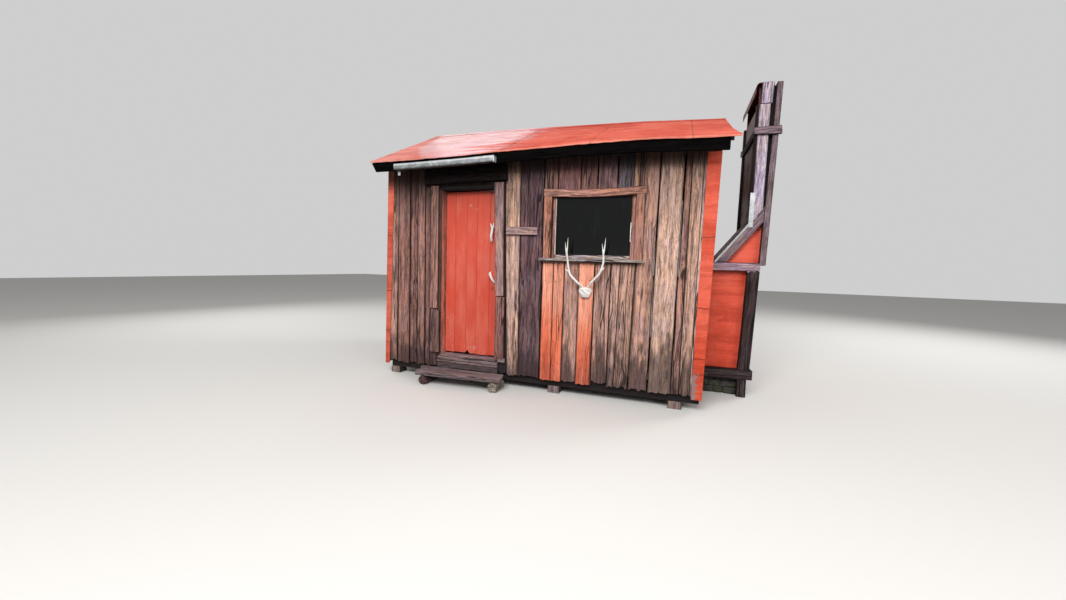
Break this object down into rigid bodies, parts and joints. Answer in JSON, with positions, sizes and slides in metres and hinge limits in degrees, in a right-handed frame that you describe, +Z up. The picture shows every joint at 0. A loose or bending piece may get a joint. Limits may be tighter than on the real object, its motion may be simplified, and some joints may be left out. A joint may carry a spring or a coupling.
{
  "type": "backcountry hut",
  "caption": "Small gabled slab-timber hut on piles, with a red iron roof, an inward door, a window and a timber-framed iron chimney on one end.",
  "frame": {"origin": "centre of the outline's footprint, at ground level", "axes": "+X along the front wall towards the chimney, +Y from the front wall to the back, +Z up"},
  "size_m": [4.372, 2.918, 3.34],
  "materials": {
    "slab_timber": "weathered split slabs, rough",
    "frame_timber": "sawn, unpainted",
    "chimney_timber": "weathered, damp",
    "painted_iron": "orange-red paint, glossy, wet",
    "rusty_iron": "old red paint over rust",
    "galvanised_iron": "dull galvanised",
    "door_paint": "coral red paint, worn",
    "hinge_iron": "rusted black",
    "bone": "bleached bone and antler",
    "dark_glass": "clear pane over a dark room",
    "stone": "packed stone"
  },
  "bodies": {
    "hut": {"back_wall": "slab_timber", "chimney_bearers": "chimney_timber", "chimney_cheeks": "painted_iron", "chimney_end_iron": "rusty_iron", "chimney_feet": "chimney_timber", "chimney_posts": "chimney_timber", "chimney_rails": "chimney_timber", "corner_flashings": "painted_iron", "deer_skull": "bone", "door_frame": "slab_timber", "door_gutter": "galvanised_iron", "door_threshold": "slab_timber", "door_trim": "slab_timber", "fascia_boards": "frame_timber", "floor": "frame_timber", "floor_bearers": "frame_timber", "floor_joists": "frame_timber", "flue_battens": "chimney_timber", "flue_boards": "chimney_timber", "flue_cap": "rusty_iron", "flue_inner_iron": "rusty_iron", "front_wall_left": "slab_timber", "front_wall_over_door": "slab_timber", "front_wall_right": "slab_timber", "hearth": "stone", "hinge_pins": "hinge_iron", "left_end_wall": "slab_timber", "piles": "frame_timber", "purlins": "frame_timber", "rafters": "frame_timber", "ridge_board": "frame_timber", "ridge_cap": "painted_iron", "right_end_wall": "slab_timber", "roof_iron_back": "painted_iron", "roof_iron_front": "painted_iron", "shoulder_boards": "chimney_timber", "shoulder_flashings": "galvanised_iron", "shoulder_iron": "rusty_iron", "step_logs": "slab_timber", "step_plank": "slab_timber", "wall_girts": "frame_timber", "wall_patches": "slab_timber", "wall_plates": "frame_timber", "wall_studs": "frame_timber", "window_casings": "slab_timber", "window_glass": "dark_glass", "window_sash": "slab_timber", "window_sill": "slab_timber"},
    "door": {"door_leaf": "door_paint", "door_ledges": "frame_timber", "door_hinges": "hinge_iron", "door_handles": "bone", "door_latch": "hinge_iron"}
  },
  "joints": [
    {"name": "door_swing", "type": "hinge", "parent": "hut", "child": "door", "pos_m": [-1.369, -1.0005, 0.5], "axis": [0, 0, 1], "range_deg": [0, 105]}
  ]
}
